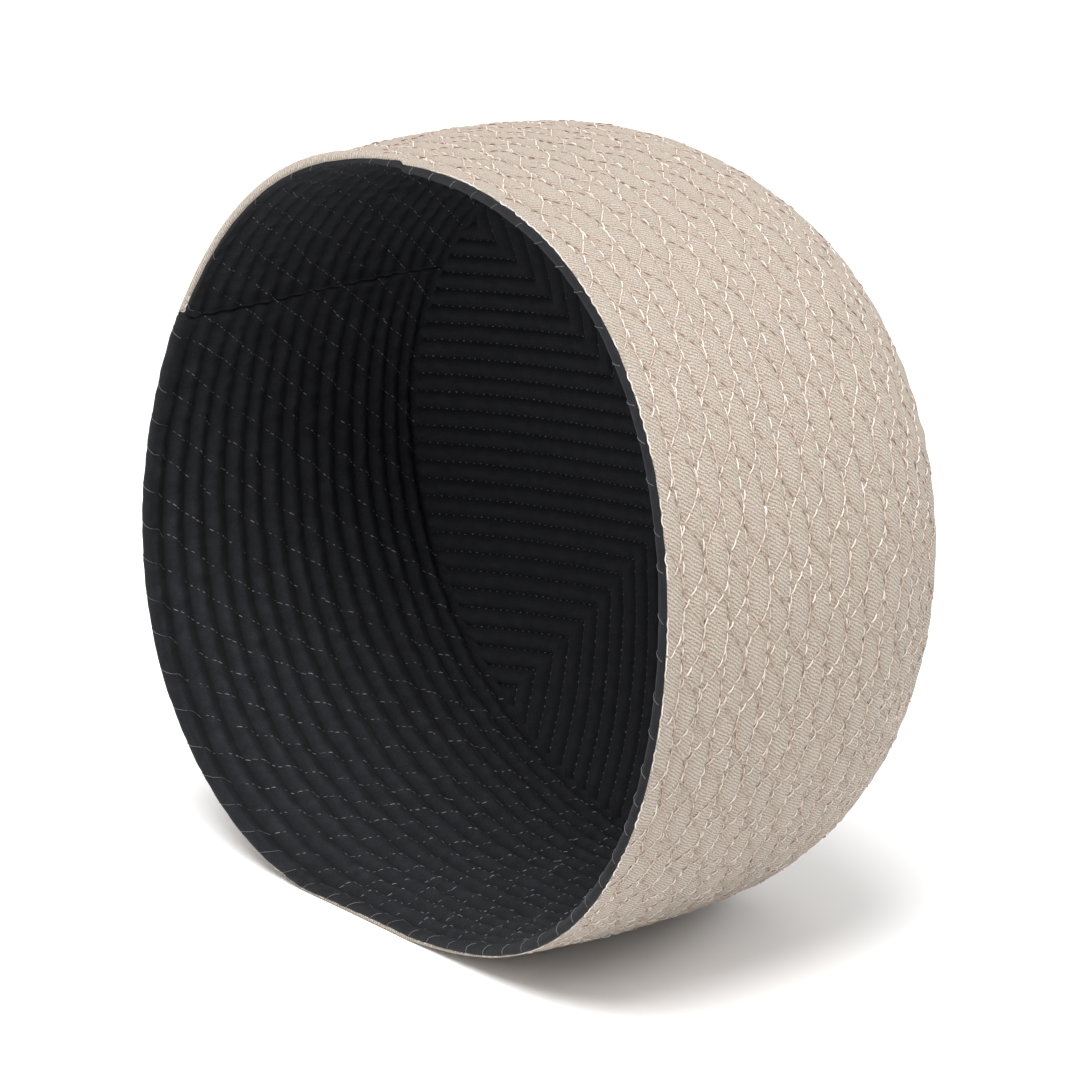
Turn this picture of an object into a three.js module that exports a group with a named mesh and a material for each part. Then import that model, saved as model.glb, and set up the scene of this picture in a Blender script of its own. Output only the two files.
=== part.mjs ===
// A soft quilted prayer cap of the pillbox kind, lying on its side.
// It is a band and a domed crown, each with a beige outer cloth and a black lining. Both are quilted, so
// the band swells between rows of stitching, and the lining's lower edge is turned over the rim. The cap
// lies with its mouth towards -Y and its crown towards +Y. The band is pressed flat where it rests.
import * as THREE from "three";
import { mergeVertices } from "three/addons/utils/BufferGeometryUtils.js";

// Driving sizes, in millimetres. A share runs along the band, from 0 at the rim to 1 at the crown.
const RIM_RADIUS = 91; // for a head about 57 cm round
const CROWN_RADIUS = 86.8; // of the band's upper edge, before its shoulder is drawn in
const CAP_DEPTH = 76.8; // from the rim's mean line to the outside of the crown's edge
const SHOULDER_DROP = 4.1; // how much of the band's cut height its rounded shoulder uses up
const SHOULDER_START = 0.66; // the share at which the shoulder begins
const SHOULDER_POWER = 1.67;
const CLOTH_GAP = 0.3; // between one piece and the next

// The quilted walls, as depths inwards from the outside of the puffs
const SHELL_THICKNESS = 1.5;
const SHELL_GROOVE = 0.5; // how far a row of stitching is drawn in
const LINING_DEPTH = 4.4; // to the inside of the lining's puffs, so the padded wall is 4.4 mm
const LINING_GROOVE = 1.0;
const CROWN_SHELL_THICKNESS = 1.6;
const CROWN_LINING_THICKNESS = 2.4;
const CROWN_DOME = 12.6; // rise of the crown's middle over its edge
const CROWN_DOME_POWER = 3.6; // how flat the middle is, and how steep the edge

// The rows of stitching round the band
const ROWS = 15;
const RIM_TO_FIRST_ROW = 0.72; // as a part of one channel
const LAST_ROW_TO_CROWN = 0.93;

// The lining turned over the rim, as a half-round roll in front of the band's lower edge
const ROLL_FRONT = 2.0;
const ROLL_SETBACK = 0.15; // of the roll's outer face, in from the puffs
const ROLL_STEPS = 5;

// The closing seam up the back of the band
const SEAM_ANGLE = 294.5;
const SEAM_HALF_WIDTH = 0.8; // degrees
const SEAM_GROOVE = 0.7;

// Where the cap rests, the band is pressed flat so deep, between these angles and up to this share
const PRESSED = 1.0;
const UNDERSIDE = { from: 150, to: 210, step: 1 };
const RESTING_SHARE = 0.8;

// Steps of the faceted surfaces
const SEGMENTS = 50; // round the band
const CROWN_RINGS = 6;
const CROWN_CROWDING = 0.8; // draws the rings together towards the crown's edge
const WALL_STEPS = 9; // along the plain side of each cloth
const WALL_CROWDING = 1.5; // draws those steps together towards the shoulder
const END_ROOM = 1.2; // least depth from a piece's last step to its end
const SHARE_STEP = 0.01; // for slopes
const END_SEARCH = { from: 0.5, to: 1.2, halvings: 30 }; // shares between which a piece's end lies

// The form that a soft cap takes on its side: how its sizes swing with the angle round its axis, which is
// counted from the top towards +X. Each row adds a wave with so many crests, one of them at the angle peak.
const RIM_RADIUS_WAVES = [
  { crests: 2, size: 7.2, peak: 69 },
  { crests: 3, size: 0.7, peak: -10 },
  { crests: 4, size: 1.9, peak: -36 },
];
const CROWN_RADIUS_WAVES = [
  { crests: 1, size: 1.8, peak: -60 },
  { crests: 2, size: 4.8, peak: 82 },
  { crests: 3, size: 2.4, peak: 48 },
];
const RIM_SETBACK = 0.6; // how far the rim lies behind its mean line, towards the crown
const RIM_SETBACK_WAVES = [
  { crests: 1, size: 4.2, peak: -72 },
  { crests: 2, size: 2.0, peak: -2 },
  { crests: 3, size: 0.6, peak: 28 },
];
const BULGE = 1.5; // how far the band's middle swells out
const BULGE_WAVES = [
  { crests: 1, size: 2.1, peak: 52 },
  { crests: 2, size: 1.2, peak: -28 },
];
const SHOULDER_IN = 3.2; // how far the shoulder is drawn in
const SHOULDER_IN_WAVES = [{ crests: 1, size: 4.2, peak: 50 }];

const rad = THREE.MathUtils.degToRad;

function swing(waves, angle) {
  return waves.reduce((sum, w) => sum + w.size * Math.cos(w.crests * rad(angle - w.peak)), 0);
}

// How far the shoulder has turned in at a share, from 0 before it starts to 1 at the crown
function shoulderTurn(share) {
  return Math.max(0, (share - SHOULDER_START) / (1 - SHOULDER_START)) ** SHOULDER_POWER;
}

// The depth of a share, from the rim's mean line
function meanDepth(share) {
  return (CAP_DEPTH + SHOULDER_DROP) * share - SHOULDER_DROP * shoulderTurn(share);
}

// The outside of the band's puffs, as a radius and a depth from the rim, before it is pressed flat
function freeBand(angle, share) {
  const turn = shoulderTurn(share);
  const rim = RIM_RADIUS + swing(RIM_RADIUS_WAVES, angle);
  const crown = CROWN_RADIUS + swing(CROWN_RADIUS_WAVES, angle);
  const bulge = BULGE + swing(BULGE_WAVES, angle);
  const shoulder = SHOULDER_IN + swing(SHOULDER_IN_WAVES, angle);
  const setback = RIM_SETBACK + swing(RIM_SETBACK_WAVES, angle);
  return {
    radius: THREE.MathUtils.lerp(rim, crown, share) + bulge * 4 * share * (1 - share) - shoulder * turn,
    depth: meanDepth(share) + setback * (1 - share),
  };
}

// How far below the axis the cap touches what it lies on
function restHeight() {
  let lowest = 0;
  for (let angle = UNDERSIDE.from; angle <= UNDERSIDE.to; angle += UNDERSIDE.step) {
    for (let share = 0; share <= RESTING_SHARE; share += SHARE_STEP) {
      lowest = Math.max(lowest, -freeBand(angle, share).radius * Math.cos(rad(angle)));
    }
  }
  return lowest - PRESSED;
}
const REST_HEIGHT = restHeight();

function pressed(angle, radius) {
  const down = -Math.cos(rad(angle));
  return down > 0 ? Math.min(radius, REST_HEIGHT / down) : radius;
}

// A point of the wall, so far inwards from the outside, square to the wall's own slope. Where the outside is
// drawn in by a groove, it is pressed flat only as far as it still stands out.
function wall(angle, share, inwards, drawnIn = 0) {
  const here = freeBand(angle, share);
  const before = freeBand(angle, share - SHARE_STEP);
  const after = freeBand(angle, share + SHARE_STEP);
  const rise = after.depth - before.depth;
  const flare = pressed(angle, after.radius) - pressed(angle, before.radius);
  const slant = Math.hypot(rise, flare);
  return [
    pressed(angle, here.radius - drawnIn) - (inwards * rise) / slant,
    here.depth + (inwards * flare) / slant,
  ];
}

// The shares of the rows of stitching, with the band's two ends before and after them
const CHANNEL = 1 / (ROWS - 1 + RIM_TO_FIRST_ROW + LAST_ROW_TO_CROWN);
const rowShares = Array.from({ length: ROWS }, (_, k) => (k + RIM_TO_FIRST_ROW) * CHANNEL);

// Each cloth of the band is made in two rings, with a gap between them at one of the rows
const MEETING_ROW = 7;
const GAP_SHARE = CLOTH_GAP / (CAP_DEPTH + SHOULDER_DROP);
const RIM_RING = { from: 0, to: rowShares[MEETING_ROW] - GAP_SHARE / 2 };
const CROWN_RING = { from: rowShares[MEETING_ROW] + GAP_SHARE / 2, to: 1 };

function liesWithin(ring, share, topDepth) {
  return share > ring.from && share < ring.to && meanDepth(share) < topDepth - END_ROOM;
}

// Each row is drawn in, and the cloth swells between two rows
function quiltedFace(ring, topDepth, pointAt) {
  const ends = [0, ...rowShares, 1];
  const rows = ends.map((share) => ({ share, drawnIn: 1 }));
  const puffs = ends.slice(1).map((share, k) => ({ share: (share + ends[k]) / 2, drawnIn: 0 }));
  return [...rows.slice(1, -1), ...puffs]
    .filter(({ share }) => liesWithin(ring, share, topDepth))
    .sort((a, b) => a.share - b.share)
    .map(({ share, drawnIn }) => pointAt(share, drawnIn));
}

function seamGroove(angle) {
  return Math.abs(angle - SEAM_ANGLE) < SEAM_HALF_WIDTH / 2 ? SEAM_GROOVE : 0;
}

// The stations round the cap, with three close ones at the seam
function stations() {
  const step = 360 / SEGMENTS;
  const even = Array.from({ length: SEGMENTS }, (_, k) => k * step);
  const kept = even.filter((angle) => Math.abs(angle - SEAM_ANGLE) > step / 2);
  const seam = [-1, 0, 1].map((side) => SEAM_ANGLE + side * SEAM_HALF_WIDTH);
  return [...kept, ...seam].sort((a, b) => a - b);
}

// The wall's point at a share, moved onto the level where a piece ends
function endPoint(angle, depth, inwards) {
  let { from: low, to: high } = END_SEARCH;
  for (let k = 0; k < END_SEARCH.halvings; k += 1) {
    const middle = (low + high) / 2;
    if (wall(angle, middle, inwards)[1] < depth) low = middle;
    else high = middle;
  }
  return [wall(angle, low, inwards)[0], depth];
}

function plainFace(ring, angle, topDepth, inwards) {
  const shares = Array.from({ length: WALL_STEPS }, (_, k) => 1 - (1 - k / WALL_STEPS) ** WALL_CROWDING);
  return shares
    .filter((share) => liesWithin(ring, share, topDepth))
    .map((share) => wall(angle, share, inwards));
}

const SHELL_TOP = CAP_DEPTH - CROWN_SHELL_THICKNESS - CLOTH_GAP;
const LINING_TOP = SHELL_TOP - CROWN_LINING_THICKNESS - CLOTH_GAP;
const LINING_OUTSIDE = SHELL_THICKNESS + CLOTH_GAP;

function shellOutside(ring, angle) {
  return quiltedFace(ring, SHELL_TOP, (share, drawnIn) =>
    wall(angle, share, 0, SHELL_GROOVE * drawnIn + seamGroove(angle)),
  );
}

function rimShellSection(angle) {
  const lower = wall(angle, 0, 0, SHELL_GROOVE / 2);
  const lowerInside = [wall(angle, 0, SHELL_THICKNESS)[0], lower[1]];
  const outside = [lower, ...shellOutside(RIM_RING, angle), wall(angle, RIM_RING.to, 0, SHELL_GROOVE)];
  const inside = plainFace(RIM_RING, angle, SHELL_TOP, SHELL_THICKNESS);
  const insideEnd = wall(angle, RIM_RING.to, SHELL_THICKNESS);
  return [...outside, insideEnd, ...inside.reverse(), lowerInside];
}

function crownShellRingSection(angle) {
  const lower = wall(angle, CROWN_RING.from, 0, SHELL_GROOVE);
  const top = endPoint(angle, SHELL_TOP, SHELL_GROOVE / 2);
  const inside = plainFace(CROWN_RING, angle, SHELL_TOP, SHELL_THICKNESS);
  const insideTop = endPoint(angle, SHELL_TOP, SHELL_THICKNESS);
  const insideStart = wall(angle, CROWN_RING.from, SHELL_THICKNESS);
  return [lower, ...shellOutside(CROWN_RING, angle), top, insideTop, ...inside.reverse(), insideStart];
}

// The roll over the rim is half an ellipse from the outside of the shell round to the inside of the lining
function rimRoll(angle) {
  const across = (LINING_DEPTH - ROLL_SETBACK) / 2;
  const [shellRadius, shellDepth] = wall(angle, 0, 0);
  return Array.from({ length: ROLL_STEPS + 1 }, (_, k) => {
    const turn = (Math.PI * k) / ROLL_STEPS;
    const inwards = ROLL_SETBACK + across * (1 - Math.cos(turn));
    return [shellRadius - inwards, shellDepth - CLOTH_GAP - ROLL_FRONT * Math.sin(turn)];
  });
}

function liningInside(ring, angle) {
  return quiltedFace(ring, LINING_TOP, (share, drawnIn) =>
    wall(angle, share, LINING_DEPTH - LINING_GROOVE * drawnIn - seamGroove(angle)),
  );
}

function rimLiningSection(angle) {
  const underShell = [wall(angle, 0, LINING_OUTSIDE)[0], wall(angle, 0, 0)[1] - CLOTH_GAP];
  const outside = plainFace(RIM_RING, angle, LINING_TOP, LINING_OUTSIDE);
  const outsideEnd = wall(angle, RIM_RING.to, LINING_OUTSIDE);
  const insideEnd = wall(angle, RIM_RING.to, LINING_DEPTH - LINING_GROOVE);
  const inside = [...liningInside(RIM_RING, angle), insideEnd];
  return [underShell, ...outside, outsideEnd, ...inside.reverse(), ...rimRoll(angle).reverse()];
}

function crownLiningRingSection(angle) {
  const outsideStart = wall(angle, CROWN_RING.from, LINING_OUTSIDE);
  const outside = plainFace(CROWN_RING, angle, LINING_TOP, LINING_OUTSIDE);
  const outsideTop = endPoint(angle, LINING_TOP, LINING_OUTSIDE);
  const top = endPoint(angle, LINING_TOP, LINING_DEPTH - LINING_GROOVE / 2);
  const insideStart = wall(angle, CROWN_RING.from, LINING_DEPTH - LINING_GROOVE);
  const inside = [insideStart, ...liningInside(CROWN_RING, angle), top];
  return [outsideStart, ...outside, outsideTop, ...inside.reverse()];
}

// A piece of the crown, with its middle raised and its edge given by a radius at each of its two levels
function crownSection(under, over, underRadius, overRadius) {
  const face = (level, radius) =>
    Array.from({ length: CROWN_RINGS }, (_, k) => {
      const out = ((k + 1) / CROWN_RINGS) ** CROWN_CROWDING;
      return [radius * out, level + CROWN_DOME * (1 - out ** CROWN_DOME_POWER)];
    });
  const middle = (level) => [0, level + CROWN_DOME];
  return [middle(under), ...face(under, underRadius), ...face(over, overRadius).reverse(), middle(over)];
}

function crownShellSection(angle) {
  const under = CAP_DEPTH - CROWN_SHELL_THICKNESS;
  const underRadius = endPoint(angle, under, SHELL_GROOVE / 2)[0];
  const overRadius = endPoint(angle, CAP_DEPTH, SHELL_GROOVE / 2)[0];
  return crownSection(under, CAP_DEPTH, underRadius, overRadius);
}

function crownLiningSection(angle) {
  const radius = endPoint(angle, SHELL_TOP, SHELL_THICKNESS)[0] - CLOTH_GAP;
  return crownSection(SHELL_TOP - CROWN_LINING_THICKNESS, SHELL_TOP, radius, radius);
}

// A closed solid swept round the axis through one section for each station. A section runs towards the crown
// along its outer side. An open one starts and ends on the axis, where its points fall together.
function sweptSolid(sectionAt, closed) {
  const rings = stations().map((angle) => ({ angle: rad(angle), points: sectionAt(angle) }));
  const count = rings[0].points.length;
  const positions = rings.flatMap(({ angle, points }) =>
    points.flatMap(([radius, depth]) => [radius * Math.sin(angle), depth, radius * Math.cos(angle)]),
  );
  const index = [];
  rings.forEach((_, i) => {
    const next = (i + 1) % rings.length;
    for (let j = 0; j < (closed ? count : count - 1); j += 1) {
      const a = i * count + j;
      const b = i * count + ((j + 1) % count);
      const c = next * count + ((j + 1) % count);
      const d = next * count + j;
      if (closed || j < count - 2) index.push(a, c, b);
      if (closed || j > 0) index.push(a, d, c);
    }
  });
  const geometry = new THREE.BufferGeometry();
  geometry.setAttribute("position", new THREE.Float32BufferAttribute(positions, 3));
  geometry.setIndex(index);
  const merged = mergeVertices(geometry, 1e-4);
  merged.computeVertexNormals();
  return merged;
}

const beigeTwill = { color: 0xcbbfab, roughness: 0.9, metalness: 0 };
const blackCotton = { color: 0x1c1d22, roughness: 0.92, metalness: 0 };

function piece(name, geometry, finish) {
  const mesh = new THREE.Mesh(geometry, new THREE.MeshStandardMaterial(finish));
  mesh.name = name;
  return mesh;
}

const cap = new THREE.Group();
cap.add(
  piece("rim_ring_shell", sweptSolid(rimShellSection, true), beigeTwill),
  piece("crown_ring_shell", sweptSolid(crownShellRingSection, true), beigeTwill),
  piece("rim_ring_lining", sweptSolid(rimLiningSection, true), blackCotton),
  piece("crown_ring_lining", sweptSolid(crownLiningRingSection, true), blackCotton),
  piece("crown_shell", sweptSolid(crownShellSection, false), beigeTwill),
  piece("crown_lining", sweptSolid(crownLiningSection, false), blackCotton),
);

// The origin is under the middle of the cap, on the level that it rests on
const box = new THREE.Box3().setFromObject(cap);
const middle = box.getCenter(new THREE.Vector3());
cap.position.set(-middle.x, -middle.y, -box.min.z);

const group = new THREE.Group();
group.add(cap);
export default group;
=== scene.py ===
"""A quilted prayer cap that lies on its side: its cloths, stitching, floor, lights and camera.

Sizes are in millimetres and angles in degrees, unless a name says otherwise. An angle runs round the
cap's axis from the top towards +X. A share runs along the band from 0 at its rim to 1 at the crown. A row
number runs the same way: the rows of stitching are 0 to 14, the rim lies before them and the crown after them.
"""

import bpy
import numpy as np
from mathutils import Matrix, Vector


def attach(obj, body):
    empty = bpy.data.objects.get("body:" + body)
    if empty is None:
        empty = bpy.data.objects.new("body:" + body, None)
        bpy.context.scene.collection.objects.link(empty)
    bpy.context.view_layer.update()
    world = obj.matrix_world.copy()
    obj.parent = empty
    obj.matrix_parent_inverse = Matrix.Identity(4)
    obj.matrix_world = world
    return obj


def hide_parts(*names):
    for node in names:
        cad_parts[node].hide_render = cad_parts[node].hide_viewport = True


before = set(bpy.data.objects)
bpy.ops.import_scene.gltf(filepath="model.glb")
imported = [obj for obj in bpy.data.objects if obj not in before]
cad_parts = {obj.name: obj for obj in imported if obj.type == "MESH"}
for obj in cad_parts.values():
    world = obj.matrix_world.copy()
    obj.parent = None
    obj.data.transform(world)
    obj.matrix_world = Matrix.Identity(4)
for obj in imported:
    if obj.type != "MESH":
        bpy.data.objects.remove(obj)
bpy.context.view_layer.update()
bpy.context.scene.view_settings.view_transform = "Standard"

MM = 0.001
AXIS = np.array([-0.201, -40.597, 83.250])  # where the axis crosses the rim's mean level
STEP_ALONG = 0.01  # a small share of the band, for its slant
MAP_RADIUS = 94.0  # of the cloth map, which is as wide all along the band
MM_PER_DEGREE = 1.65  # round the outside of the band, on average

# The band and the crown, with the same sizes as their solids
RIM_RADIUS = 91.0
CROWN_RADIUS = 86.8
CAP_DEPTH = 76.8
SHOULDER_DROP = 4.1
SHOULDER_START = 0.66
SHOULDER_POWER = 1.67
RIM_TO_FIRST_ROW = 0.72
LAST_ROW_TO_CROWN = 0.93
LAST_ROW = 14
CHANNEL = 1 / (LAST_ROW + RIM_TO_FIRST_ROW + LAST_ROW_TO_CROWN)
CHANNEL_HEIGHT = (CAP_DEPTH + SHOULDER_DROP) * CHANNEL
PRESSED = 1.0
SEAM_ANGLE = 294.5
CROWN_DOME = 12.6
CROWN_DOME_POWER = 3.6

# Waves that give the soft cap its form: crests round the cap, size, and the angle of one crest
RIM_RADIUS_WAVES = [(2, 7.2, 69), (3, 0.7, -10), (4, 1.9, -36)]
CROWN_RADIUS_WAVES = [(1, 1.8, -60), (2, 4.8, 82), (3, 2.4, 48)]
RIM_SETBACK_WAVES = [(0, 0.6, 0), (1, 4.2, -72), (2, 2.0, -2), (3, 0.6, 28)]
BULGE_WAVES = [(0, 1.5, 0), (1, 2.1, 52), (2, 1.2, -28)]
SHOULDER_IN_WAVES = [(0, 3.2, 0), (1, 4.2, 50)]

# Places where only the rim stands out a little more: size, middle and half-width
RIM_FLARES = [(1.0, 345, 24), (0.9, 212, 18), (1.1, 104, 22)]
FLARE_REACH = 0.06  # along the band, as a share of it


def swing(waves, angle):
    """What such waves add up to at an angle."""
    return sum(size * np.cos(np.radians(crests * (angle - peak))) for crests, size, peak in waves)


def humps(places, angle):
    """What such places add up to at an angle."""
    return sum(size * np.exp(-(((angle % 360 - middle) / half) ** 2)) for size, middle, half in places)


def free_band(angle, share):
    """The outside of the band before it is pressed flat, as a radius and a depth."""
    turn = np.maximum(0, (share - SHOULDER_START) / (1 - SHOULDER_START)) ** SHOULDER_POWER
    rim = RIM_RADIUS + swing(RIM_RADIUS_WAVES, angle)
    crown = CROWN_RADIUS + swing(CROWN_RADIUS_WAVES, angle)
    swell = swing(BULGE_WAVES, angle) * 4 * share * (1 - share)
    radius = rim + (crown - rim) * share + swell - swing(SHOULDER_IN_WAVES, angle) * turn
    radius = radius + humps(RIM_FLARES, angle) * np.exp(-np.maximum(share, 0) / FLARE_REACH)
    depth = (CAP_DEPTH + SHOULDER_DROP) * share - SHOULDER_DROP * turn
    return radius, depth + swing(RIM_SETBACK_WAVES, angle) * (1 - share)


def rest_height():
    """How far the floor lies under the axis: the lowest part of the band is pressed flat against it."""
    angle, share = np.meshgrid(np.arange(150, 211), np.arange(0, 0.8, STEP_ALONG))
    return (-free_band(angle, share)[0] * np.cos(np.radians(angle))).max() - PRESSED


REST_HEIGHT = rest_height()


def pressed(angle, radius):
    """The radius, cut short where the floor presses the cap flat."""
    down = np.maximum(-np.cos(np.radians(angle)), 1e-6)
    return np.minimum(radius, REST_HEIGHT / down)


def wall(angle, share, inwards):
    """A place in the wall, so far inwards from its outside and square to it, as a radius and a depth."""
    radius, depth = free_band(angle, share)
    radius_before, depth_before = free_band(angle, share - STEP_ALONG)
    radius_after, depth_after = free_band(angle, share + STEP_ALONG)
    rise = depth_after - depth_before
    flare = pressed(angle, radius_after) - pressed(angle, radius_before)
    slant = np.hypot(rise, flare)
    return pressed(angle, radius) - inwards * rise / slant, depth + inwards * flare / slant


def rim_line(angle):
    """The outside of the band at its rim, as a radius and a depth."""
    return wall(angle, 0 * angle, 0 * angle)


def in_frame(angle, radius, depth):
    """Metres in the part's frame."""
    turn = np.radians(angle)
    place = np.stack(np.broadcast_arrays(radius * np.sin(turn), depth, radius * np.cos(turn)), -1)
    return (place + AXIS) * MM


LUMPS_ALONG = 400


def lumps(across, along, seed, wrap=720):
    """Soft noise from -1 to 1, one lump to each unit. It comes round again after wrap units across."""
    heights = np.random.default_rng(seed).uniform(-1, 1, (wrap, LUMPS_ALONG))
    i, j = np.floor(across).astype(int), np.floor(along).astype(int)
    s, t = across - i, along - j
    s, t = s * s * (3 - 2 * s), t * t * (3 - 2 * t)

    def at(di, dj):
        return heights[(i + di) % wrap, (j + dj) % LUMPS_ALONG]

    return (at(0, 0) * (1 - s) + at(1, 0) * s) * (1 - t) + (at(0, 1) * (1 - s) + at(1, 1) * s) * t


def uneven(angle, size, along, seed):
    """The same noise round the cap, with lumps of about so many degrees."""
    wrap = int(round(360 / size))
    return lumps(angle * wrap / 360, along, seed, wrap)


def unevenness(kinds, angle, along):
    """A sum of such noises. Each kind is its height, degrees to a lump, lumps to a unit along, and seed."""
    return sum(height * uneven(angle, size, along * pace, seed) for height, size, pace, seed in kinds)


# The quilting of the band
ROW_WAVER = [(0.06, 11, 1.0, 3), (0.03, 4, 1.0, 4)]  # in rows
NEEDLE_STEP = 2.0  # degrees between the needle holes of a row, about 3.2 mm
SHELL_GROOVE = 0.46
SHELL_WRINKLES = [(0.12, 2, 1.3, 5), (0.09, 1.3, 2.4, 6)]
NET_GROOVE = 0.17
LINING_GROOVE = 1.6
LINING_ROUNDNESS = 1.7
LINING_PUCKERS = [(0.42, 1.5, 0.8, 7), (0.26, 0.9, 1.3, 8)]
LINING_AT_RIM = 2.7  # from the outside of the band to the tops of the lining's puffs
LINING_THICKER = 1.3  # how much further they stand in away from the rim
DEEPEST_GROOVES = 225  # the angle at which the lining is drawn in most

# The seam where the band's two ends meet: how deep it is, and how far the upper end stands out
SHELL_SEAM = 0.6
SHELL_LAP = 0.5
LINING_SEAM = 1.1
LINING_SEAM_LIP = 0.35
LINING_LAP = 0.4
ROLL_SEAM = 0.35
LAP_FADE = 5  # degrees


def share_at(angle, row):
    """The share at which a row runs. It wavers a little round the cap."""
    return (row + unevenness(ROW_WAVER, angle, row) + RIM_TO_FIRST_ROW) * CHANNEL


def puff(row, roundness=0.75):
    """From 0 on a row of stitching to 1 halfway between two."""
    return np.abs(np.sin(np.pi * row)) ** roundness


def band_puff(row, roundness=0.75):
    """The same on the band, where the cloth stays swollen beyond its first and last rows."""
    return puff(np.clip(row, -0.5, LAST_ROW + 0.5), roundness)


def on_needle(angle):
    """From 0 halfway between two needle holes to 1 at a hole."""
    return 0.5 + 0.5 * np.cos(np.radians(360 * angle / NEEDLE_STEP))


def seam_crease(angle, width):
    """From 0 away from the seam to 1 on it."""
    return np.exp(-(((angle % 360 - SEAM_ANGLE) / width) ** 2))


def seam_lap(angle):
    """One end of the band lies over the other, and thins out."""
    past = angle % 360 - SEAM_ANGLE
    return np.where(past > 0, np.exp(-past / LAP_FADE), 0)


# The net of stitching over the band: two families of lines that lean either way, and hang back on the rows
NET_LINES = 40  # in each family
NET_STEP = 9.0  # degrees between two lines
NET_GAP = NET_STEP * 1.62  # the same in millimetres
NET_RISE = 1.29  # rows between two lines
NET_LAG = 0.8  # how strongly a line follows a row
NET_START = (72.3, 0.30)  # a crossing, as an angle and an evenly paced row
NET_CREASE = 0.8  # how far from a line the cloth is drawn in
PART_OF_ROW = 0.02


def lagged(even):
    """The row that a net line has got to, for an evenly paced row."""
    return even - NET_LAG * np.sin(2 * np.pi * even) / (2 * np.pi)


def paced(row):
    """The evenly paced row for a row that a net line has got to."""
    steps = np.linspace(-2, 17, 1901)
    return np.interp(row, lagged(steps), steps)


def near_net(angle, row):
    """How closely a place lies to a line of the net, from 0 to 1 on it."""
    near = 0
    even = paced(row) - NET_START[1]
    per_row = (paced(row + PART_OF_ROW) - paced(row - PART_OF_ROW)) / (2 * PART_OF_ROW)
    steepness = np.hypot(1 / NET_GAP, per_row / NET_RISE / CHANNEL_HEIGHT)
    for lean in (-1, 1):
        phase = (angle - NET_START[0]) / NET_STEP - lean * even / NET_RISE
        off = np.abs(phase - np.round(phase)) / steepness
        near = np.maximum(near, np.exp(-((off / NET_CREASE) ** 2)))
    return near


def shell_relief(angle, row):
    """How far the outer cloth is drawn in from the outside of its puffs."""
    drawn = SHELL_GROOVE * (1 - band_puff(row)) * (0.75 + 0.4 * on_needle(angle))
    seam = SHELL_SEAM * seam_crease(angle, 0.2) - SHELL_LAP * seam_lap(angle)
    return drawn + NET_GROOVE * near_net(angle, row) + unevenness(SHELL_WRINKLES, angle, row) + seam


def outer(angle, row, lift=0.0):
    """A place on the outer cloth, or so far above it."""
    radius, depth = wall(angle, share_at(angle, row), shell_relief(angle, row) - lift)
    return in_frame(angle, radius, depth)


def lining_puff(row):
    """From 0 on a row to 1 on the top of the lining's puff."""
    return band_puff(row, LINING_ROUNDNESS)


def lining_relief(angle, row):
    """How far the lining stands in from the outside of the band."""
    swollen = lining_puff(row)
    flatter = np.maximum(0.5, 0.62 + 0.38 * np.cos(np.radians(angle - DEEPEST_GROOVES)))
    flatter = flatter * (1 - 0.6 * seam_crease(angle, 3.5))
    drawn = LINING_GROOVE * flatter * (1 - swollen) * (0.85 + 0.2 * on_needle(angle))
    crest = LINING_AT_RIM + LINING_THICKER * (1 - np.exp(-np.maximum(row, 0) / 2))
    pucker = unevenness(LINING_PUCKERS, angle, row) * (0.3 + 0.7 * swollen)
    seam = LINING_SEAM * seam_crease(angle, 0.16) - LINING_SEAM_LIP * seam_crease(angle, 0.9)
    return crest - drawn + pucker - seam + LINING_LAP * seam_lap(angle)


def inner(angle, row, lift=0.0):
    """A place on the lining, or so far above it."""
    radius, depth = wall(angle, share_at(angle, row), lining_relief(angle, row) + lift)
    return in_frame(angle, radius, depth)


# The lining is turned over the rim in a narrow roll. A place on it is a number from 0, at its outer edge,
# to 1, where it runs into the lining's first puff.
ROLL_SETBACK = 0.15
ROLL_RADIUS = 1.0
ROLL_MIDDLE = 0.75  # how far the roll's middle stands before the rim's level
ROLL_LUMPS = [(0.08, 1.2, 3, 9), (0.06, 3.7, 1, 10)]
ROLL_STEP = 0.02  # a small part of the way over it
STITCH_LINES = 72  # lines of stitching that slant over the lining
STITCH_PULL = 0.05  # how far they draw the roll in
STITCH_START = 2.4  # the angle at which the first one crosses the roll

# How much of the outer cloth's folded edge shows outside the roll
EDGE_ABOVE = 1.5  # from the seam to the top
EDGE_START, EDGE_FADE, EDGE_END = 0.7, 28, 78  # degrees past the seam
EDGE_BELOW = [(0.95, 183, 26), (0.2375, 225, 18)]  # at the bottom: size, middle and half-width
EDGE_LOWERS_ROLL = 0.43


def roll_section():
    """Places over the roll, how far inwards and how far in front. The last three lead into the lining."""
    turns = np.radians(np.linspace(-30, 135, 13))
    inwards = ROLL_SETBACK + ROLL_RADIUS * (1 - np.cos(turns))
    front = ROLL_MIDDLE + ROLL_RADIUS * np.sin(turns)
    inwards = np.concatenate([inwards, [2.24, 2.46, 2.6]])
    front = np.concatenate([front, [1.06, 0.52, -0.15]])
    length = np.concatenate([[0], np.hypot(np.diff(inwards), np.diff(front)).cumsum()])
    return length / length[-1], inwards, front


def edge_shown(angle):
    """How far the folded edge stands outside the roll."""
    past_seam = (angle - SEAM_ANGLE) % 360
    above = np.clip(past_seam / EDGE_START, 0, 1) * np.clip((EDGE_END - past_seam) / EDGE_FADE, 0, 1)
    return EDGE_ABOVE * above + humps(EDGE_BELOW, angle)


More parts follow.
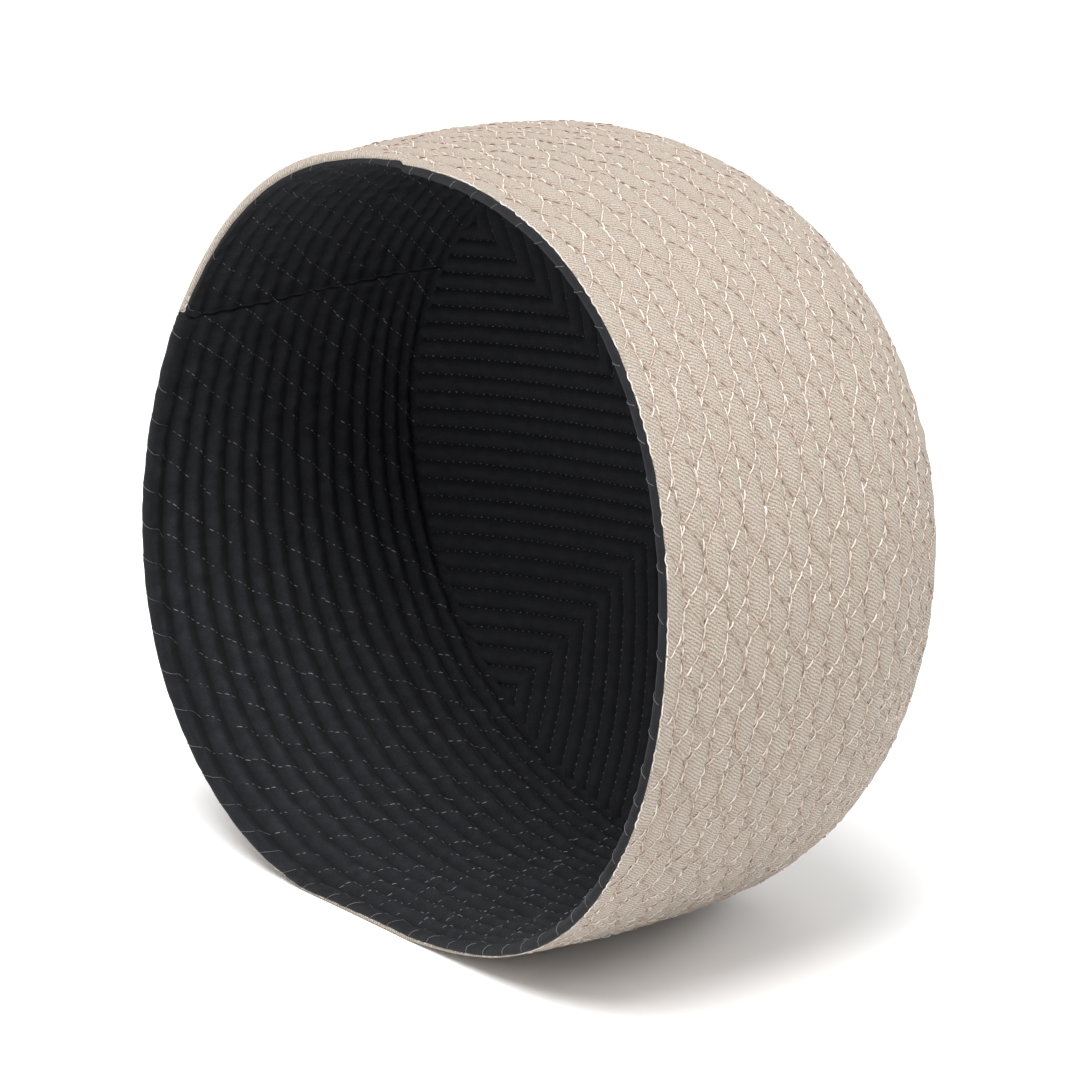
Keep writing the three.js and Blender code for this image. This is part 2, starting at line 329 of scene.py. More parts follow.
def on_roll(angle, place, lift=0.0):
    """A place on the roll, or so far above it."""
    places, inwards, front = roll_section()
    across = np.interp(place, places, inwards) + edge_shown(angle) * (1 - place)
    before = np.interp(place, places, front) * (1 - EDGE_LOWERS_ROLL * edge_shown(angle))
    lean_in, lean_out = (
        np.interp(place + ROLL_STEP, places, line) - np.interp(place - ROLL_STEP, places, line)
        for line in (inwards, front)
    )
    tight = 0.5 + 0.5 * np.cos(np.radians(STITCH_LINES * (angle - STITCH_START)))
    plump = unevenness(ROLL_LUMPS, angle, place) - STITCH_PULL * tight**3
    grown = (lift + plump) / np.maximum(np.hypot(lean_in, lean_out), 1e-9)
    radius, depth = rim_line(angle)
    seam = ROLL_SEAM * seam_crease(angle, 0.2) - SHELL_LAP * seam_lap(angle)
    return in_frame(angle, radius - across - grown * -lean_out - seam, depth - before - grown * lean_in)


# Meshes

def new_piece(name, points, faces, finish, uv=None, tone=None):
    """A smooth mesh that rides with the cap. The faces all have as many corners."""
    mesh = bpy.data.meshes.new(name)
    corners = faces.shape[1]
    mesh.vertices.add(len(points))
    mesh.vertices.foreach_set("co", points.astype(np.float32).ravel())
    mesh.loops.add(faces.size)
    mesh.loops.foreach_set("vertex_index", faces.astype(np.int32).ravel())
    mesh.polygons.add(len(faces))
    mesh.polygons.foreach_set("loop_start", np.arange(0, faces.size, corners, dtype=np.int32))
    mesh.polygons.foreach_set("use_smooth", np.ones(len(faces), dtype=bool))
    mesh.update(calc_edges=True)
    if uv is not None:
        mesh.uv_layers.new(name="cloth").data.foreach_set("uv", uv.astype(np.float32).ravel())
    if tone is not None:
        tones = mesh.attributes.new("tone", "FLOAT", "POINT")
        tones.data.foreach_set("value", tone.astype(np.float32).ravel())
    mesh.materials.append(finish)
    piece = bpy.data.objects.new(name, mesh)
    bpy.context.scene.collection.objects.link(piece)
    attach(piece, "root")
    return piece


def round_sheet(name, rings, finish, height, tone, outwards=True):
    """A sheet through rings of points, with a cloth map in millimetres."""
    count, around = rings.shape[:2]
    i, j = np.meshgrid(np.arange(count - 1), np.arange(around), indexing="ij")
    k = (j + 1) % around
    faces = np.stack([i * around + j, (i + 1) * around + j, (i + 1) * around + k, i * around + k], -1)
    length = np.concatenate([ANGLES, [360 + ANGLES[0]]]) * np.radians(MAP_RADIUS)
    across = np.stack([length[j], length[j], length[j + 1], length[j + 1]], -1)
    along = np.stack([height[i], height[i + 1], height[i + 1], height[i]], -1)
    uv = np.stack([across, along], -1)
    if not outwards:
        faces, uv = faces[..., ::-1], uv[..., ::-1, :]
    return new_piece(name, rings.reshape(-1, 3), faces.reshape(-1, 4), finish, uv.reshape(-1, 2), tone)


def thread(name, paths, up, thickness, finish, tone, sides=4):
    """Many bits of thread in one mesh: each path is a row of points, with the cloth's upward direction."""
    count, steps = paths.shape[:2]
    ahead = np.gradient(paths, axis=1)
    ahead /= np.linalg.norm(ahead, axis=2, keepdims=True)
    aside = np.cross(ahead, up)
    aside /= np.linalg.norm(aside, axis=2, keepdims=True)
    over = np.cross(aside, ahead)
    turn = 2 * np.pi * (np.arange(sides) + 0.5) / sides
    radius = (thickness / 2 * MM)[..., None, None]
    ring = aside[:, :, None] * np.cos(turn)[:, None] + over[:, :, None] * np.sin(turn)[:, None]
    points = paths[:, :, None] + ring * radius
    n, s, t = np.meshgrid(np.arange(count), np.arange(steps - 1), np.arange(sides), indexing="ij")
    a = (n * steps + s) * sides + t
    b = (n * steps + s) * sides + (t + 1) % sides
    faces = np.stack([a, b, b + sides, a + sides], -1).reshape(-1, 4)
    spread = np.repeat(tone, steps * sides)
    return new_piece(name, points.reshape(-1, 3), faces, finish, tone=spread)


# Finishes

class Amount:
    """A shader value that can be used in sums."""

    def __init__(self, finish, socket):
        self.finish = finish
        self.socket = socket

    def sum(self, operation, *others):
        return self.finish.node("ShaderNodeMath", {"operation": operation}, self, *others)

    def __add__(self, other):
        return self.sum("ADD", other)

    def __sub__(self, other):
        return self.sum("SUBTRACT", other)

    def __mul__(self, other):
        return self.sum("MULTIPLY", other)

    def __rsub__(self, other):
        return self.finish.node("ShaderNodeMath", {"operation": "SUBTRACT"}, other, self)

    __radd__ = __add__
    __rmul__ = __mul__

    def wave(self, pitch):
        """From 0 to 1 and back over each pitch."""
        return (self * (2 * np.pi / pitch)).sum("SINE") * 0.5 + 0.5

    def within(self, low, high):
        """From 0 at low to 1 at high, and no further."""
        limits = {"From Min": low, "From Max": high}
        return self.finish.node("ShaderNodeMapRange", {"interpolation_type": "SMOOTHSTEP"}, self, **limits)


class Finish:
    """A material with one Principled shader."""

    def __init__(self, name, **constants):
        self.material = bpy.data.materials.new(name)
        self.material.use_nodes = True
        self.tree = self.material.node_tree
        self.shader = next(n for n in self.tree.nodes if n.type == "BSDF_PRINCIPLED")
        for socket, value in constants.items():
            self.shader.inputs[socket.replace("_", " ")].default_value = value

    def set_input(self, socket, value):
        if isinstance(value, Amount):
            self.tree.links.new(value.socket, socket)
        elif isinstance(value, (tuple, list)) and len(value) == 3 and socket.type == "RGBA":
            socket.default_value = (*value, 1)
        else:
            socket.default_value = value

    def node(self, kind, settings, *values, output=0, **named):
        made = self.tree.nodes.new(kind)
        for setting, value in settings.items():
            setattr(made, setting, value)
        for socket, value in zip([s for s in made.inputs if s.enabled], values):
            self.set_input(socket, value)
        for name, value in named.items():
            self.set_input(next(s for s in made.inputs if s.enabled and s.name == name), value)
        return Amount(self, [s for s in made.outputs if s.enabled][output])

    def noise(self, place, scale, detail=2.0):
        """Soft noise from 0 to 1, with so many lumps to a unit of the place."""
        return self.node("ShaderNodeTexNoise", {}, Vector=place, Scale=scale, Detail=detail)

    def blend(self, share, first, second):
        """A colour between two, at the second where the share is 1."""
        return self.node("ShaderNodeMix", {"data_type": "RGBA"}, share, first, second)

    def tone(self):
        """The number from 0 to 1 that a mesh gives to each of its points."""
        return self.node("ShaderNodeAttribute", {"attribute_name": "tone"}, output=2)

    def cloth_map(self):
        """The cloth's own coordinates, whole, across and along, in millimetres."""
        place = self.node("ShaderNodeUVMap", {"uv_map": "cloth"})
        across = self.node("ShaderNodeSeparateXYZ", {}, place)
        along = self.node("ShaderNodeSeparateXYZ", {}, place, output=1)
        return place, across, along

    def feed(self, socket, value):
        self.set_input(self.shader.inputs[socket], value)

    def raise_by(self, height, distance, strength=1.0):
        """Bump, with the distance in metres."""
        bump = self.node("ShaderNodeBump", {}, Strength=strength, Distance=distance, Height=height)
        self.feed("Normal", bump)


# The slant of a cloth's ribs over its map, and the millimetres from one rib or yarn to the next
TWILL_ACROSS, TWILL_ALONG, TWILL_PITCH, YARN_PITCH = 0.814, 0.581, 0.66, 0.55
COTTON_ACROSS, COTTON_ALONG, COTTON_PITCH = 0.8, 0.6, 0.62


def beige_twill():
    """Pale ribs over darker gaps, with flecks, and painted shade where the tone says that the cloth is drawn
    in, in its creases.
    """
    finish = Finish("beige_twill", Sheen_Weight=0.15, Sheen_Roughness=0.5, Specular_IOR_Level=0.2)
    place, across, along = finish.cloth_map()
    stray = finish.noise(place, 0.35, 3.0) * 1.1
    rib = (across * TWILL_ACROSS - along * TWILL_ALONG + stray).wave(TWILL_PITCH)
    yarn = (across * TWILL_ALONG + along * TWILL_ACROSS + stray).wave(YARN_PITCH)
    fleck = finish.noise(place, 2.4, 3.0)
    grain = finish.noise(place, 3.4, 1.0).within(0.38, 0.62)
    patch = finish.noise(place, 0.045, 3.0)
    weave = rib * 0.52 + yarn * 0.06 + grain * 0.42
    ribbed = finish.blend(weave, (0.155, 0.127, 0.103), (0.633, 0.550, 0.463))
    toned = finish.blend((patch - 0.5) * 0.7 + 0.18, ribbed, (0.396, 0.335, 0.279))
    specked = finish.blend(fleck.within(0.45, 0.7) * 0.4, toned, (0.263, 0.216, 0.174))
    # Painted shade: the tone darkens the twill in its creases, along the net's lines and the rows
    finish.feed("Base Color", finish.blend(finish.tone() * 0.42, specked, (0.263, 0.196, 0.151)))
    finish.feed("Roughness", 0.95 - rib * 0.15)
    finish.raise_by(weave * 0.9 + fleck * 0.8, 0.00026, 1.0)
    return finish.material


def black_cotton():
    """Faint ribs and flecks, and painted shade down to black where the tone is 0, deep in the stitching."""
    finish = Finish("black_cotton", Sheen_Weight=0.03, Sheen_Roughness=0.6, Specular_IOR_Level=0.2)
    place, across, along = finish.cloth_map()
    stray = finish.noise(place, 0.3, 2.0) * 0.4
    rib = (across * COTTON_ACROSS - along * COTTON_ALONG + stray).wave(COTTON_PITCH)
    fleck = finish.noise(place, 2.2, 3.0)
    patch = finish.noise(place, 0.35, 3.0)
    dark = finish.blend(patch.within(0.35, 0.65), (0.0081, 0.0086, 0.0115), (0.0138, 0.0144, 0.0181))
    ribbed = finish.blend(rib * 0.1, dark, (0.025, 0.0254, 0.030))
    flecked = finish.blend(fleck.within(0.45, 0.75) * 0.35, ribbed, (0.030, 0.0304, 0.035))
    # Painted shade: the tone takes the cotton down to black in the grooves of the quilting
    finish.feed("Base Color", finish.blend(finish.tone(), (0.0022, 0.0024, 0.0035), flecked))
    finish.feed("Roughness", 0.92 - fleck * 0.15)
    finish.raise_by(rib * 0.25 + fleck * 0.8, 0.00015, 0.6)
    return finish.material


TWISTS_PER_METRE = 2600.0


def spun_thread(name, dull, bright, gloss, shine=0.5):
    """Thread that runs from dull to bright with the tone of each stitch."""
    finish = Finish(name, Roughness=gloss, Sheen_Weight=0.1, Specular_IOR_Level=shine)
    place = finish.node("ShaderNodeTexCoord", {}, output=3)
    twist = finish.noise(place, TWISTS_PER_METRE, 1.0)
    finish.feed("Base Color", finish.blend(finish.tone() * 0.8 + twist * 0.2, dull, bright))
    finish.raise_by(twist, 0.0001, 0.5)
    return finish.material


twill = beige_twill()
cotton = black_cotton()
cream_thread = spun_thread("cream_thread", (0.42, 0.31, 0.25), (0.78, 0.69, 0.61), 0.33, 0.75)
# This second net thread is the cream thread painted darker: painted shade on the family of net lines that
# catches less light
shaded_cream_thread = spun_thread("shaded_cream_thread", (0.22, 0.135, 0.095), (0.56, 0.42, 0.335), 0.4, 0.7)
row_thread = spun_thread("row_thread", (0.41, 0.335, 0.28), (0.78, 0.73, 0.67), 0.5)
lint_thread = spun_thread("lint_thread", (0.034, 0.035, 0.040), (0.20, 0.193, 0.19), 0.5)
hole_shade = spun_thread("hole_shade", (0.020, 0.016, 0.018), (0.34, 0.26, 0.21), 0.9)

# The band's outer cloth, from under the roll at the rim to the seam with the crown
AROUND = 540
BY_THE_SEAM = [-0.28, -0.1, 0, 0.1, 0.3]  # degrees
ANGLES = np.sort(np.concatenate([np.arange(AROUND) * 360 / AROUND, SEAM_ANGLE + np.array(BY_THE_SEAM)]))


def stations(before, shares, after):
    """Row numbers that are closer together at the stitching."""
    between = np.arange(LAST_ROW)[:, None] + shares
    return np.concatenate([before, between.ravel(), LAST_ROW + np.array(after)])


rows_at = stations(
    [-RIM_TO_FIRST_ROW, -0.6, -0.45, -0.3, -0.18, -0.07],
    [0, 0.07, 0.15, 0.26, 0.38, 0.5, 0.62, 0.74, 0.85, 0.93],
    [0, 0.07, 0.15, 0.3, 0.5, 0.65, 0.8, 0.93],
)
rows, turns = np.meshgrid(rows_at, ANGLES, indexing="ij")

# The rings of the folded edge at the rim: how far inwards each lies and how much further where the edge
# shows, and how far in front and how much further there
FOLD_RINGS = [
    (1.2, 0.5, -0.2, 0),
    (0.8, 0.75, 0.3, 0.2),
    (0.42, 0.8, 0.62, 0.3),
    (0.14, 0.35, 0.66, 0.25),
    (0, 0, 0.36, 0.1),
]
FOLD_HEIGHTS = [-6.2, -5.4, -4.9, -4.6, -4.2]  # of these rings on the cloth map
rim_radius, rim_depth = rim_line(ANGLES)
lapped, shown = rim_radius + SHELL_LAP * seam_lap(ANGLES), edge_shown(ANGLES)
folded_edge = [
    in_frame(ANGLES, lapped - inwards - more_inwards * shown, rim_depth - front - more_front * shown)
    for inwards, more_inwards, front, more_front in FOLD_RINGS
]
top_radius, top_depth = wall(ANGLES, 1 + 0 * ANGLES, 0.2 + 0 * ANGLES)
tucked_top = in_frame(ANGLES, top_radius - 1.4, top_depth - 1.8)
shell_rings = np.concatenate([folded_edge, outer(turns, rows), tucked_top[None]])
shell_height = np.concatenate([FOLD_HEIGHTS, rows_at * CHANNEL_HEIGHT, [79.0]])
# Painted shade for the twill: dark along the net's lines and the rows, full under the crown's edge, none on
# the folded edge
crease_shade = np.clip(near_net(turns, rows) * 0.4 + (1 - band_puff(rows)) * 0.6, 0, 1)
crease_shade = np.concatenate([np.zeros((len(FOLD_RINGS), len(ANGLES))), crease_shade, np.ones((1, len(ANGLES)))])
band_cloth = round_sheet("band_cloth", shell_rings, twill, shell_height, crease_shade, outwards=False)

# The lining with its edge turned over the rim
ROLL_LENGTH = 6.4  # on the cloth map
roll_places = roll_section()[0]
places, roll_turns = np.meshgrid(roll_places, ANGLES, indexing="ij")
rows_at = stations(
    [-0.5, -0.38, -0.25, -0.14, -0.06],
    [0, 0.06, 0.16, 0.3, 0.43, 0.57, 0.7, 0.84, 0.94],
    [0, 0.06, 0.16, 0.3, 0.45],
)
rows, turns = np.meshgrid(rows_at, ANGLES, indexing="ij")
lining_rings = np.concatenate([on_roll(roll_turns, places), inner(turns, rows)])
lining_height = np.concatenate([roll_places * ROLL_LENGTH - 9.2, rows_at * CHANNEL_HEIGHT])
# Painted shade for the cotton: dark in the lining's grooves and in the seam's crease, lighter on each puff's
# side towards the mouth, where the light comes in
swollen = 0.74 * lining_puff(rows + 0.12) ** 0.8 * (1 - 0.8 * seam_crease(turns, 0.3))
# The roll's tone, nearly the same all over it
roll_tone = np.interp(roll_places, [0, 0.5, 1], [0.54, 0.56, 0.56])[:, None] + 0 * roll_turns
patchy = uneven(np.concatenate([roll_turns, turns]), 1.4, lining_height[:, None] / 2.2, 12)
lining_shade_and_tone = np.concatenate([roll_tone, swollen]) + 0.16 * patchy
band_inside = round_sheet("band_inside", lining_rings, cotton, lining_height, np.clip(lining_shade_and_tone, 0, 1))

# The crown, quilted in rows that turn a corner on its two diagonals
CROWN_ROW_STEP = 4.1
CROWN_TURN = 4.9  # degrees that the rows are turned
CROWN_MIDDLE = (-8.5, -1.8)
CROWN_HALF = 26  # rows from the middle, more than the crown holds
CROWN_STATIONS = [0, 0.09, 0.26, 0.5, 0.74, 0.91]  # of a row
CROWN_LUMP = 3.1
CROWN_FALL_WIDTH = 1.5  # of its edge, which falls away to the seam
CROWN_OUTSIDE = {"inwards": 0.6, "level": CAP_DEPTH, "groove": 0.7, "fall": 1.5, "side": 1}
CROWN_INSIDE = {"inwards": 3.2, "level": 72.6, "groove": 1.3, "fall": 1.2, "side": -1}


def crown_spot(a, b):
    """A place in the crown from its distances to the two middle lines of the quilting."""
    turn = np.radians(CROWN_TURN)
    x = CROWN_MIDDLE[0] + a * np.cos(turn) - b * np.sin(turn)
    z = CROWN_MIDDLE[1] + a * np.sin(turn) + b * np.cos(turn)
    return x, z


def crown_edge(face, x, z):
    """How far out a face of the crown reaches on the side where a place is."""
    angle = np.degrees(np.arctan2(x, z))
    return wall(angle, 1 + 0 * angle, face["inwards"] + 0 * angle)[0]


def on_crown(face, a, b, lift=0.0):
    """A place on one face of the crown, or so far above it."""
    x, z = crown_spot(a, b)
    edge = crown_edge(face, x, z)
    shrink = np.minimum(1, edge / np.maximum(np.hypot(x, z), 1e-6))
    x, z = x * shrink, z * shrink
    out = np.hypot(x, z) / edge
    row = np.minimum(np.abs(a), np.abs(b)) / CROWN_ROW_STEP + 0.5
    drawn = face["groove"] * (1 - puff(row)) + 0.14 * lumps(x / CROWN_LUMP + 90, z / CROWN_LUMP + 90, 11)
    drawn = drawn + face["fall"] * np.exp(-(((1 - out) * edge / CROWN_FALL_WIDTH) ** 2)) - lift
    depth = face["level"] + CROWN_DOME * (1 - out**CROWN_DOME_POWER) - face["side"] * drawn
    return (np.stack([x, depth, z], -1) + AXIS) * MM


def crown_sheet(name, face, finish):
    """A face of the crown, cut from a square grid that follows its rows."""
    across = np.arange(-CROWN_HALF, CROWN_HALF)[:, None] + 0.5 + np.array(CROWN_STATIONS)
    across = across.ravel() * CROWN_ROW_STEP
    a, b = np.meshgrid(across, across, indexing="ij")
    x, z = crown_spot(a, b)
    kept = np.hypot(x, z) < crown_edge(face, x, z) + 1.2
    points = on_crown(face, a, b)
    size = len(across)
    i, j = np.meshgrid(np.arange(size - 1), np.arange(size - 1), indexing="ij")
    faces = np.stack([i * size + j, (i + 1) * size + j, (i + 1) * size + j + 1, i * size + j + 1], -1)
    whole = kept[:-1, :-1] & kept[1:, :-1] & kept[1:, 1:] & kept[:-1, 1:]
    used, faces = np.unique(faces[whole], return_inverse=True)
    faces = faces.reshape(-1, 4)
    if face["side"] > 0:
        faces = faces[:, ::-1]
    uv = np.stack([a, b], -1).reshape(-1, 2)[used][faces.ravel()]
    row = np.minimum(np.abs(a), np.abs(b)) / CROWN_ROW_STEP + 0.5
    # Painted shade: the twill outside darkens along the rows, and the cotton inside goes down to black in its
    # grooves
    tone = 1 - puff(row) if face["side"] > 0 else 0.82 * puff(row)
    return new_piece(name, points.reshape(-1, 3)[used], faces, finish, uv, tone.ravel()[used])


crown_cloth = crown_sheet("crown_cloth", CROWN_OUTSIDE, twill)
crown_inside = crown_sheet("crown_inside", CROWN_INSIDE, cotton)


# Stitching

def upward(low, high):
    """The direction from one place to another above it."""
    raised = high - low
    return raised / np.linalg.norm(raised, axis=-1, keepdims=True)


NET_STITCH = 2.25
NET_STITCH_STEP = 2.55  # from the start of one stitch to the next
NET_END_ROOM = 2.6
NET_TOP = 14.9  # the row number where the lines end, under the crown's edge


def net_family(lean, seed):
    """The stitches of one family of lines, as an angle and a row for both ends of each."""
    chance = np.random.default_rng(seed)
    starts, ends = [], []
    even = np.linspace(paced(-RIM_TO_FIRST_ROW), paced(NET_TOP), 2000)
    for line in range(NET_LINES):
        angle = NET_START[0] + NET_STEP * (line + lean * (even - NET_START[1]) / NET_RISE)
        row = lagged(even) + 0.07 * lumps(angle / 5 + line * 7, even * 0 + line, seed + 40)
        bits = np.hypot(np.diff(angle) * MM_PER_DEGREE, np.diff(row) * CHANNEL_HEIGHT)
        length = np.concatenate([[0], bits.cumsum()])
        start = np.arange(chance.uniform(0, 2.5), length[-1] - NET_END_ROOM, NET_STITCH_STEP)
        start = start + chance.uniform(-0.18, 0.18, len(start))
        end = start + NET_STITCH + chance.uniform(-0.1, 0.15, len(start))
        for points, at in ((starts, start), (ends, end)):
            points.append(np.stack([np.interp(at, length, angle), np.interp(at, length, row)], -1))
    return np.concatenate(starts), np.concatenate(ends)


def lay_stitches(name, starts, ends, place, lifts, thickness, finish, seed, tone_power=1.0, sides=4):
    """Straight stitches between needle holes, arched over the cloth, and thinner where they go into it."""
    chance = np.random.default_rng(seed)
    share = np.linspace(0, 1, len(lifts))[None]
    first = starts[:, :1] * (1 - share) + ends[:, :1] * share
    second = starts[:, 1:] * (1 - share) + ends[:, 1:] * share
    lift = np.array(lifts)[None] * chance.uniform(0.85, 1.2, (len(starts), 1))
    thick = np.array([THIN_END] + [1.0] * (len(lifts) - 2) + [THIN_END])[None] * thickness
    thick = thick * chance.uniform(0.85, 1.15, (len(starts), 1))
    up = upward(place(first, second, 0.0), place(first, second, 1.0))
    tone = chance.uniform(0, 1, len(starts)) ** tone_power
    return thread(name, place(first, second, lift), up, thick, finish, tone, sides)


ARCH = (-0.12, 0.15, 0.20, 0.15, -0.12)  # how far a stitch stands off the cloth along its length
LOW_ARCH = (-0.1, 0.10, 0.10, -0.1)
THIN_END = 0.7  # of a thread's thickness
starts, ends = net_family(-1, 21)
net_bright = lay_stitches("net_bright", starts, ends, outer, ARCH, 0.31, cream_thread, 31)
# The other family, in the cream thread painted darker as painted shade
starts, ends = net_family(1, 22)
net_dull = lay_stitches("net_dull", starts, ends, outer, ARCH, 0.30, shaded_cream_thread, 32)

# The straight rows: a pale thread that dips into a needle hole every 3.2 mm
row_numbers, hole_turns = np.meshgrid(np.arange(LAST_ROW + 1), np.arange(0, 360, NEEDLE_STEP), indexing="ij")
holes = np.stack([hole_turns.ravel(), row_numbers.ravel().astype(float)], -1)
chance = np.random.default_rng(41)
holes[:, 0] += chance.uniform(-0.1, 0.1, len(holes))
HOLE_REACH = [0.11, 0]  # half of a needle hole, as an angle and a row
STITCH_FROM, STITCH_TO = [0.14, 0], [NEEDLE_STEP - 0.14, 0]
row_stitches = lay_stitches(
    "row_stitches", holes + STITCH_FROM, holes + STITCH_TO, outer, LOW_ARCH, 0.30, row_thread, 42
)
needle_holes = lay_stitches(
    "needle_holes", holes - HOLE_REACH, holes + HOLE_REACH, outer, (-0.02, 0.07, -0.02), 0.34, hole_shade, 43,
    tone_power=0.7, sides=3,
)

# Stitches that show through the lining, in slanting lines from the crown to the rim
chance = np.random.default_rng(51)
STITCH_SLANT = 2.57  # degrees to a row
SPECK_STEP = 0.225  # rows
SPECKS_KEPT = 0.85  # the others are hidden in the cloth
SPECK_REACH = [0.30, -0.117]  # half of the longest speck, as an angle and a row
lines, line_rows = np.meshgrid(np.arange(STITCH_LINES), np.arange(0.2, 14.3, SPECK_STEP), indexing="ij")
sway = 0.5 * lumps(lines * 5.0, line_rows / 3, 52)
line_turns = lines * 360 / STITCH_LINES - line_rows * STITCH_SLANT + sway
line_turns = line_turns + chance.normal(0, 0.06, lines.shape)
specks = np.stack([line_turns.ravel(), (line_rows + chance.normal(0, 0.03, lines.shape)).ravel()], -1)
specks = specks[chance.uniform(0, 1, len(specks)) < SPECKS_KEPT]
reach = chance.uniform(0.28, 0.72, (len(specks), 1)) * SPECK_REACH
lining_stitches = lay_stitches(
    "lining_stitches", specks - reach, specks + reach, inner, (-0.05, 0.05, -0.05), 0.25, lint_thread, 53,
    tone_power=1.5, sides=3,
)

# The same lines climb over the roll: loose thread that stands off its inner side and ends in its outer edge
line_starts = np.arange(STITCH_LINES) * 360 / STITCH_LINES + chance.uniform(-0.5, 0.5, STITCH_LINES)
inner_turns = line_starts[:, None] + np.array([-0.2, 0.4, 0.95])
inner_turns = inner_turns + chance.uniform(-0.1, 0.1, inner_turns.shape)
inner_rows = np.array([0.02, -0.16, -0.36]) + 0 * inner_turns
over_turns = line_starts[:, None] + np.array([1.35, 1.8, 2.2, 2.6, 2.95])
over_turns = over_turns + chance.uniform(-0.1, 0.1, over_turns.shape)
over_places = np.array([0.84, 0.62, 0.47, 0.30, 0.13]) + 0 * over_turns
slack = chance.uniform(0.2, 0.55, (STITCH_LINES, 1))
inner_lift = np.array([-0.5, -0.2, 0.1]) * slack
over_lift = np.array([0.4, 0.5, 0.3, 0.15, -0.12]) * slack
loop_paths = np.concatenate(
    [inner(inner_turns, inner_rows, inner_lift), on_roll(over_turns, over_places, over_lift)], axis=1
)
loop_ups = np.concatenate([
    upward(inner(inner_turns, inner_rows), inner(inner_turns, inner_rows, 1.0)),
    upward(on_roll(over_turns, over_places), on_roll(over_turns, over_places, 1.0)),
], axis=1)
FEW_LOOPS_FROM, FEW_LOOPS_TO, FEW = 284, 350, 0.2
loops_kept = (line_starts < FEW_LOOPS_FROM) | (line_starts > FEW_LOOPS_TO)
loops_kept = loops_kept | (chance.uniform(0, 1, STITCH_LINES) < FEW)
loop_paths, loop_ups = loop_paths[loops_kept], loop_ups[loops_kept]
LOOP_THICKNESS = 0.16
rim_loops = thread(
    "rim_loops", loop_paths, loop_ups, np.full(loop_paths.shape[:2], LOOP_THICKNESS), lint_thread,
    chance.uniform(0.03, 0.5, len(loop_paths)),
)

# Small loops of pale thread where the roll meets the outer cloth
EDGE_LOOPS = 240
EDGE_LOOP_STEP = 360 / EDGE_LOOPS
EDGE_LOOPS_KEPT = 0.7
EDGE_LOOP_FRONT = 0.45
EDGE_LOOP_THICKNESS = 0.26
edge_turns = np.arange(EDGE_LOOPS) * EDGE_LOOP_STEP + chance.uniform(-0.2, 0.2, EDGE_LOOPS)
edge_turns = edge_turns[chance.uniform(0, 1, EDGE_LOOPS) < EDGE_LOOPS_KEPT]
steps = np.linspace(0, 1, 5)
edge_angles = edge_turns[:, None] + steps * EDGE_LOOP_STEP
bow = np.sin(np.pi * steps) * chance.uniform(0.1, 0.5, (len(edge_turns), 1))
edge_radius, edge_depth = rim_line(edge_angles)
edge_depth = edge_depth - EDGE_LOOP_FRONT - bow
edge_paths = in_frame(edge_angles, edge_radius - 0.02 - edge_shown(edge_angles), edge_depth)
edge_ups = upward(edge_paths, in_frame(edge_angles, edge_radius + 1, edge_depth))
edge_loops = thread(
    "edge_loops", edge_paths, edge_ups, np.full(edge_angles.shape, EDGE_LOOP_THICKNESS), row_thread,
    chance.uniform(0.3, 1, len(edge_turns)),
)


CROWN_ROWS = 24  # on either side of a middle line
CROWN_REACH = 100  # further out than the crown's edge


def crown_rows(pitch, filled, seed):
    """Starts and ends of the stitches along the crown's rows, as distances to its two middle lines."""
    chance = np.random.default_rng(seed)
    starts, ends = [], []
    for step in range(CROWN_ROWS):
        off = (step + 0.5) * CROWN_ROW_STEP
        along = np.arange(off + pitch * 0.3, CROWN_REACH, pitch)
        for side in (-1, 1):
            for way in (-1, 1):
                for swapped in (False, True):
                    first = np.stack([np.full(len(along), side * off), way * along], -1)
                    second = np.stack([np.full(len(along), side * off), way * (along + pitch * filled)], -1)
                    stray = chance.normal(0, 0.06, (len(along), 2))
                    starts.append((first + stray)[:, ::-1] if swapped else first + stray)
                    ends.append((second + stray)[:, ::-1] if swapped else second + stray)
    starts, ends = np.concatenate(starts), np.concatenate(ends)
    x, z = crown_spot(ends[:, 0], ends[:, 1])
    inside = np.hypot(x, z) < crown_edge(CROWN_INSIDE, x, z) - 1.0
    return starts[inside], ends[inside]


def outside_crown(a, b, lift=0.0):
    return on_crown(CROWN_OUTSIDE, a, b, lift)


def inside_crown(a, b, lift=0.0):
    return on_crown(CROWN_INSIDE, a, b, lift)


starts, ends = crown_rows(2.7, 0.86, 61)
crown_stitches = lay_stitches(
    "crown_stitches", starts, ends, outside_crown, (-0.1, 0.14, 0.14, -0.1), 0.38, cream_thread, 62
)
starts, ends = crown_rows(1.8, 0.26, 63)
crown_specks = lay_stitches(
    "crown_specks", starts, ends, inside_crown, (-0.04, 0.06, -0.04), 0.26, lint_thread, 64,
    tone_power=2.6, sides=3,
)

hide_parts("rim_ring_shell", "crown_ring_shell")
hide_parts("rim_ring_lining", "crown_ring_lining")
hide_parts("crown_shell")
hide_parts("crown_lining")

